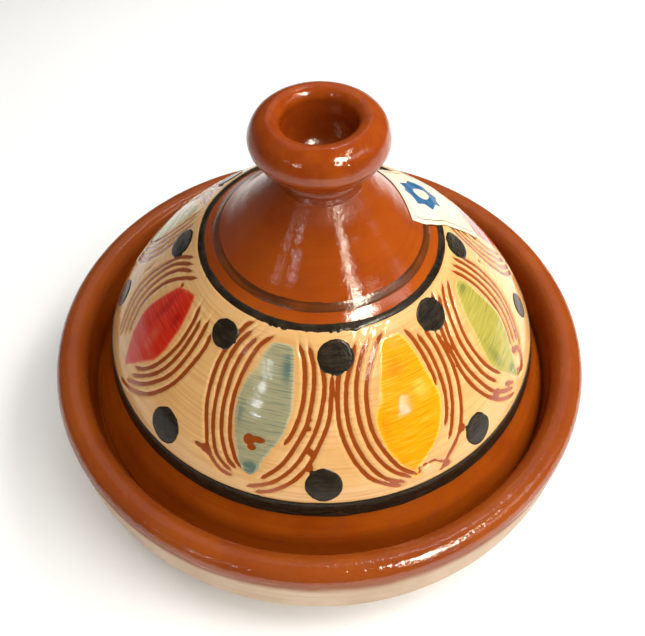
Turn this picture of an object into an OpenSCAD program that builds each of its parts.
// Tagine pot: an earthenware dish with a domed lid that sits inside its rim.
// Millimetres, +Z up. The origin is the centre of the dish's foot, and the front is -Y.

/* [Dish] */
// Outer radius of the dish's rim
dish_r = 135; // [134:0.5:137]
// Height of the rim's widest circle above the table
rim_z = 46; // [45:0.5:48]
// Height of the rim's crest above its widest circle
rim_rise = 6; // [5:0.5:7]
// Radius of the flat foot
foot_r = 95; // [85:1:97]
// Thickness of the dish's floor
floor_t = 10; // [8:0.5:11]
// Radius of the gallery, the step that the lid's foot stands in
gallery_r = 118.6; // [118:0.1:119]
// Height of the gallery's ledge
ledge_z = 26; // [25:0.5:27]

/* [Lid] */
// Outer radius of the lid's foot
lid_foot_r = 117; // [116:0.1:117.2]
// Radius where the dome turns down into the foot
waist_r = 105; // [104:0.5:106]
// Height of that turn
waist_z = 59.5; // [59:0.5:61]
// Radius of the shoulder, where the cone meets the dome
shoulder_r = 56.2; // [55:0.1:57]
// Height of the shoulder
shoulder_z = 118; // [117:0.5:119]
// Radius of the cone's top, where the knob is joined on
neck_r = 17.5; // [16.5:0.1:18]
// Height of the cone's top
neck_z = 154; // [153:0.5:155]
// Wall thickness of the lid
lid_wall = 7.5; // [6:0.5:8]

/* [Knob] */
// Distance from the axis to the middle of the knob's roll
roll_r = 18.2; // [18:0.1:19]
// Radius of the roll's own section
roll_t = 10.9; // [10.5:0.1:11.5]
// Radius of the cup inside the knob
cup_r = 15.6; // [14:0.1:16]
// Height of the cup's floor above the neck
cup_floor = 6; // [5:0.5:8]

/* [Decoration] */
// Thickness of the cream slip
slip_t = 0.4; // [0.3:0.05:0.6]
// Thickness of the painted dots and leaves on the slip
paint_t = 0.3; // [0.2:0.05:0.4]
// Radius of a painted dot
dot_r = 7.5; // [6:0.5:9]
// Length of a painted leaf
leaf_len = 62; // [50:1:66]
// Width of a painted leaf
leaf_w = 25; // [16:1:27]

/* [Label] */
// Length of the paper label, down the lid
label_len = 50; // [40:1:54]
// Width of the paper label
label_w = 42; // [30:1:46]
// Thickness of the paper
label_t = 0.2; // [0.1:0.05:0.4]
// Direction of the label round the lid, from the front towards the right
label_turn = 118; // [110:1:124]

/* [Hidden] */

$fn = 96;

clay = [0.70, 0.33, 0.10];
cream = [0.94, 0.80, 0.53];
black = [0.16, 0.13, 0.10];

// Where each coat begins and ends along the lid's curves, as shares of the curve.
ring_from = 0.68;
ring_to = 0.76;
band_from = 0.88;
slip_to = 13 / 16;
foot_band_to = 0.2;

// Directions round the lid, from the front towards the right, in degrees.
upper_dot_turns = [5, 48, 90, 135, 180, -135, -92, -39];
lower_dot_turns = [0, 44, 88, 135, 180, -135, -92, -44];
upper_dot_at = 0.065;
lower_dot_at = 0.62;
leaf_at = 0.32;

// Cubic curve through four control points, its direction, and a point lifted off it.
function along(p, t) = pow(1 - t, 3) * p[0] + 3 * pow(1 - t, 2) * t * p[1]
    + 3 * (1 - t) * t * t * p[2] + pow(t, 3) * p[3];
function heading(p, t) =
    let (d = pow(1 - t, 2) * (p[1] - p[0]) + 2 * (1 - t) * t * (p[2] - p[1]) + t * t * (p[3] - p[2]))
    d / norm(d);
function lifted(p, t, by) = let (d = heading(p, t)) along(p, t) + by * [-d.y, d.x];
function steps(from, to, n) = [for (i = [0:n]) from + (to - from) * i / n];
function backwards(list) = [for (i = [len(list) - 1:-1:0]) list[i]];
function without_first(list) = [for (i = [1:len(list) - 1]) list[i]];

// The lid's outside, from the neck down: a cone that flattens out to the shoulder, the dome, and
// the foot that flares out to stand in the gallery.
cone = [[neck_r, neck_z], [neck_r + 13.5, neck_z - 14], [shoulder_r - 9.9, shoulder_z + 2.2],
    [shoulder_r, shoulder_z]];
dome = [[shoulder_r, shoulder_z], [shoulder_r + 38.6, shoulder_z - 32.5],
    [waist_r - 0.4, waist_z + 3.8], [waist_r, waist_z]];
flare = [[waist_r, waist_z], [waist_r + 0.5, waist_z - 9.5], [lid_foot_r - 2.5, ledge_z + 14],
    [lid_foot_r, ledge_z + 3]];

cone_steps = concat(steps(0, 0.6, 5), steps(ring_from, ring_to, 2), steps(band_from, 1, 2));
dome_steps = steps(0, 1, 16);
flare_steps = concat(steps(0, foot_band_to, 2), steps(0.35, 1, 5));

module turned(outline) {
    rotate_extrude() polygon(outline);
}

// A coat on part of the lid, between two heights off the surface of one or two of its curves.
module coat(curves, parts, low, high) {
    function side(by) = [for (i = [0:len(curves) - 1]) for (t = parts[i]) lifted(curves[i], t, by)];
    turned(concat(side(low), backwards(side(high))));
}

// Stands what is drawn flat on the dome, at a share of its curve and a direction round the lid.
module on_dome(turn, share) {
    spot = along(dome, share);
    d = heading(dome, share);
    rotate([0, 0, turn - 90])
        translate([spot.x, 0, spot.y])
            rotate([0, atan2(-d.y, d.x), 0])
                rotate([0, 0, 90])
                    children();
}

// Paint on the dome's slip: the coat between two shares of the curve, kept inside flat outlines.
module paint(from, to) {
    intersection() {
        coat([dome], [steps(from / 16, to / 16, to - from)], slip_t, slip_t + paint_t);
        children();
    }
}

module dot(turn, share) {
    on_dome(turn, share) cylinder(r = dot_r, h = 16, center = true);
}

module leaf(turn) {
    bow = (pow(leaf_len / 2, 2) + pow(leaf_w / 2, 2)) / leaf_w;
    on_dome(turn, leaf_at)
        linear_extrude(36, center = true)
            intersection() {
                translate([bow - leaf_w / 2, 0]) circle(bow);
                translate([leaf_w / 2 - bow, 0]) circle(bow);
            }
}

module leaves(turns, tint) {
    color(tint)
        for (turn = turns)
            paint(0, 13) leaf(turn);
}

module dish() {
    // Inner edge of the step in the inside wall that the lid's foot stands on.
    ledge_r = gallery_r - 6;
    wall = [[foot_r + 2, 1.5], [foot_r + 24, 4], [dish_r - 2, 9], [dish_r - 1, rim_z - 22]];
    outer_rim = [[dish_r - 0.2, rim_z - 2], [dish_r + 0.3, rim_z + 2.5],
        [dish_r - 3, rim_z + rim_rise], [dish_r - 7.5, rim_z + rim_rise]];
    inner_rim = [[dish_r - 7.5, rim_z + rim_rise], [dish_r - 11.5, rim_z + rim_rise],
        [gallery_r + 2.4, rim_z + 4], [gallery_r + 1.4, rim_z - 1]];
    bowl = [[ledge_r - 1, ledge_z - 1], [ledge_r - 2.5, ledge_z - 12],
        [ledge_r - 13, floor_t + 0.3], [ledge_r - 34, floor_t]];
    color(clay)
        turned(concat(
            [[0, 0], [foot_r, 0]],
            [for (t = steps(0, 1, 8)) along(wall, t)],
            [for (t = steps(0, 1, 6)) along(outer_rim, t)],
            [for (t = without_first(steps(0, 1, 6))) along(inner_rim, t)],
            [[gallery_r, ledge_z + 1.5], [gallery_r - 1.2, ledge_z], [ledge_r, ledge_z]],
            [for (t = steps(0, 1, 7)) along(bowl, t)],
            [[0, floor_t]]));
}

module lid() {
    inside = concat(
        [for (t = steps(0.12, 0.9, 4)) lifted(cone, t, -lid_wall)],
        [for (t = steps(0.04, 0.94, 10)) lifted(dome, t, -lid_wall)],
        [[waist_r - 6.9, waist_z - 9], [waist_r - 3.6, waist_z - 17], [waist_r + 1.4, ledge_z + 6],
            [lid_foot_r - 8, ledge_z + 1.5]]);
    color(clay)
        turned(concat(
            [[0, neck_z]],
            [for (t = cone_steps) along(cone, t)],
            [for (t = without_first(dome_steps)) along(dome, t)],
            [for (t = without_first(flare_steps)) along(flare, t)],
            [[lid_foot_r - 0.4, ledge_z + 1], [lid_foot_r - 1.6, ledge_z], [lid_foot_r - 6.5, ledge_z]],
            backwards(inside),
            [[0, inside[0].y]]));
}

// A hollow roll of clay on a short stem, open at the top.
module knob() {
    roll_z = neck_z + 19.8;
    lip = [[roll_r + 2.3, roll_z + roll_t - 0.3], [roll_r - 0.8, roll_z + roll_t - 0.3],
        [cup_r - 0.3, roll_z + 8.2], [cup_r, roll_z + 5.4]];
    cup = [[cup_r, roll_z + 5.4], [cup_r + 0.4, roll_z - 6], [cup_r - 2, neck_z + cup_floor],
        [cup_r - 9, neck_z + cup_floor]];
    color(clay)
        turned(concat(
            [[0, neck_z], [neck_r, neck_z], [neck_r - 0.7, neck_z + 2.5], [neck_r + 0.3, neck_z + 5.6],
                [neck_r + 2.6, neck_z + 8.4]],
            [for (a = steps(-52, 78, 13)) [roll_r + roll_t * cos(a), roll_z + roll_t * sin(a)]],
            [for (t = without_first(steps(0, 1, 6))) along(lip, t)],
            [for (t = without_first(steps(0, 1, 6))) along(cup, t)],
            [[0, neck_z + cup_floor]]));
}

module slip_coat() {
    color(cream) coat([dome], [steps(0, slip_to, 13)], 0, slip_t);
}

module neck_ring() {
    color([0.33, 0.19, 0.12]) coat([cone], [steps(ring_from, ring_to, 2)], 0, slip_t);
}

module shoulder_band() {
    color(black) coat([cone], [steps(band_from, 1, 2)], 0, slip_t);
}

module foot_band() {
    color(black)
        coat([dome, flare], [steps(slip_to, 1, 3), without_first(steps(0, foot_band_to, 2))], 0, slip_t);
}

module upper_dots() {
    color(black)
        for (turn = upper_dot_turns)
            paint(0, 4) dot(turn, upper_dot_at);
}

module lower_dots() {
    color(black)
        for (turn = lower_dot_turns)
            paint(6, 13) dot(turn, lower_dot_at);
}

module red_leaves() {
    leaves([-67, 112], [0.74, 0.18, 0.12]);
}

module blue_leaves() {
    leaves([-17, 157], [0.53, 0.62, 0.60]);
}

module yellow_leaves() {
    leaves([26, -157], [0.96, 0.66, 0.13]);
}

module green_leaves() {
    leaves([67, -113], [0.66, 0.69, 0.35]);
}

// The label lies over the shoulder, on top of the paint.
module label() {
    low = slip_t + paint_t;
    color([0.95, 0.93, 0.88])
        intersection() {
            coat([cone, dome], [steps(0, 1, 8), steps(0, 0.5, 8)], low, low + label_t);
            on_dome(label_turn, 0.02) cube([label_w, label_len, 60], center = true);
        }
}

dish();
lid();
knob();
slip_coat();
neck_ring();
shoulder_band();
foot_band();
upper_dots();
lower_dots();
red_leaves();
blue_leaves();
yellow_leaves();
green_leaves();
label();
